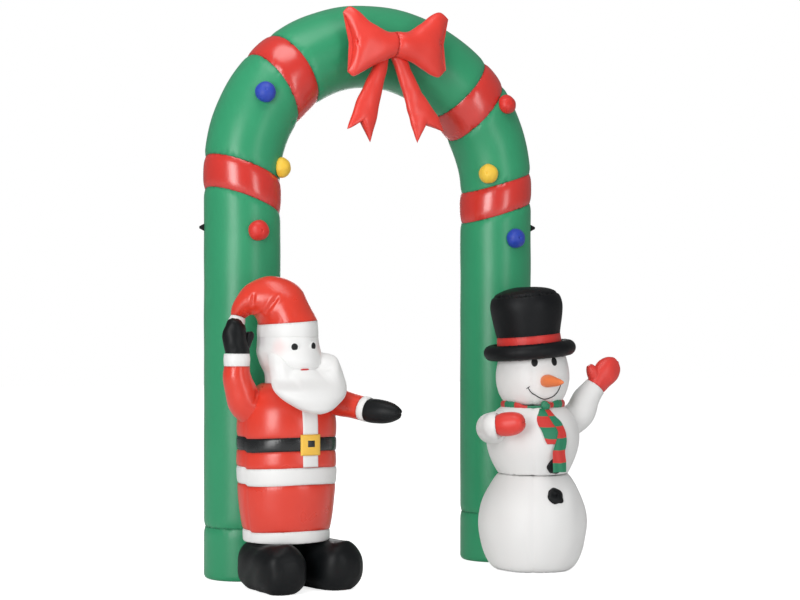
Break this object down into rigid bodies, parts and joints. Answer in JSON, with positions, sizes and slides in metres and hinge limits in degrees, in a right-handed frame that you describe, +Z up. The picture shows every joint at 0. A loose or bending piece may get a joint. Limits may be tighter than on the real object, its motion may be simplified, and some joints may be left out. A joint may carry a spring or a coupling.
{
  "type": "inflatable arch",
  "caption": "Air-filled garden arch of sewn cloth panels with a bow, sewn-on balls, and a bearded gift-bringer and a snowman standing in front of its legs.",
  "frame": {"origin": "middle of the object's box, on the floor it stands on", "axes": "+X from the bearded figure to the snowman, +Y through the arch to its back, +Z up"},
  "size_m": [1.8328, 0.9064, 2.4],
  "materials": {
    "green_cloth": "satin coated polyester",
    "red_cloth": "satin coated polyester",
    "white_cloth": "satin coated polyester",
    "black_cloth": "satin coated polyester",
    "yellow_cloth": "satin coated polyester",
    "blue_cloth": "satin coated polyester",
    "orange_cloth": "satin coated polyester",
    "webbing": "woven webbing"
  },
  "bodies": {
    "root": {"ball_blue_left": "blue_cloth", "ball_blue_right": "blue_cloth", "ball_red_left": "red_cloth", "ball_red_right": "red_cloth", "ball_yellow_left": "yellow_cloth", "ball_yellow_right": "yellow_cloth", "band_high_left": "red_cloth", "band_high_right": "red_cloth", "band_low_left": "red_cloth", "band_low_right": "red_cloth", "bow_left": "red_cloth", "bow_right": "red_cloth", "bow_tail_left": "red_cloth", "bow_tail_right": "red_cloth", "crown": "green_cloth", "figure_beard": "white_cloth", "figure_belt": "black_cloth", "figure_boot_left": "black_cloth", "figure_boot_right": "black_cloth", "figure_buckle": "yellow_cloth", "figure_coat_chest": "red_cloth", "figure_coat_hem": "white_cloth", "figure_coat_skirt": "red_cloth", "figure_cuff_left": "white_cloth", "figure_cuff_right": "white_cloth", "figure_hat": "red_cloth", "figure_hat_brim": "white_cloth", "figure_hat_tip": "white_cloth", "figure_head": "white_cloth", "figure_mitten_left": "black_cloth", "figure_mitten_right": "black_cloth", "figure_placket_lower": "white_cloth", "figure_placket_upper": "white_cloth", "figure_sleeve_left": "red_cloth", "figure_sleeve_right": "red_cloth", "figure_trouser_hem": "white_cloth", "figure_trousers": "red_cloth", "leg_base_left": "green_cloth", "leg_base_right": "green_cloth", "leg_left": "green_cloth", "leg_right": "green_cloth", "shoulder_left": "green_cloth", "shoulder_right": "green_cloth", "snowman_arm_left": "white_cloth", "snowman_arm_right": "white_cloth", "snowman_base": "white_cloth", "snowman_button_lower": "black_cloth", "snowman_button_upper": "black_cloth", "snowman_hat_band": "red_cloth", "snowman_hat_brim": "black_cloth", "snowman_hat_crown": "black_cloth", "snowman_head": "white_cloth", "snowman_middle": "white_cloth", "snowman_mitten_left": "red_cloth", "snowman_mitten_right": "red_cloth", "snowman_nose": "orange_cloth", "snowman_scarf_collar": "green_cloth", "snowman_scarf_tail": "red_cloth", "tether_tab_left": "webbing", "tether_tab_right": "webbing"}
  },
  "joints": []
}
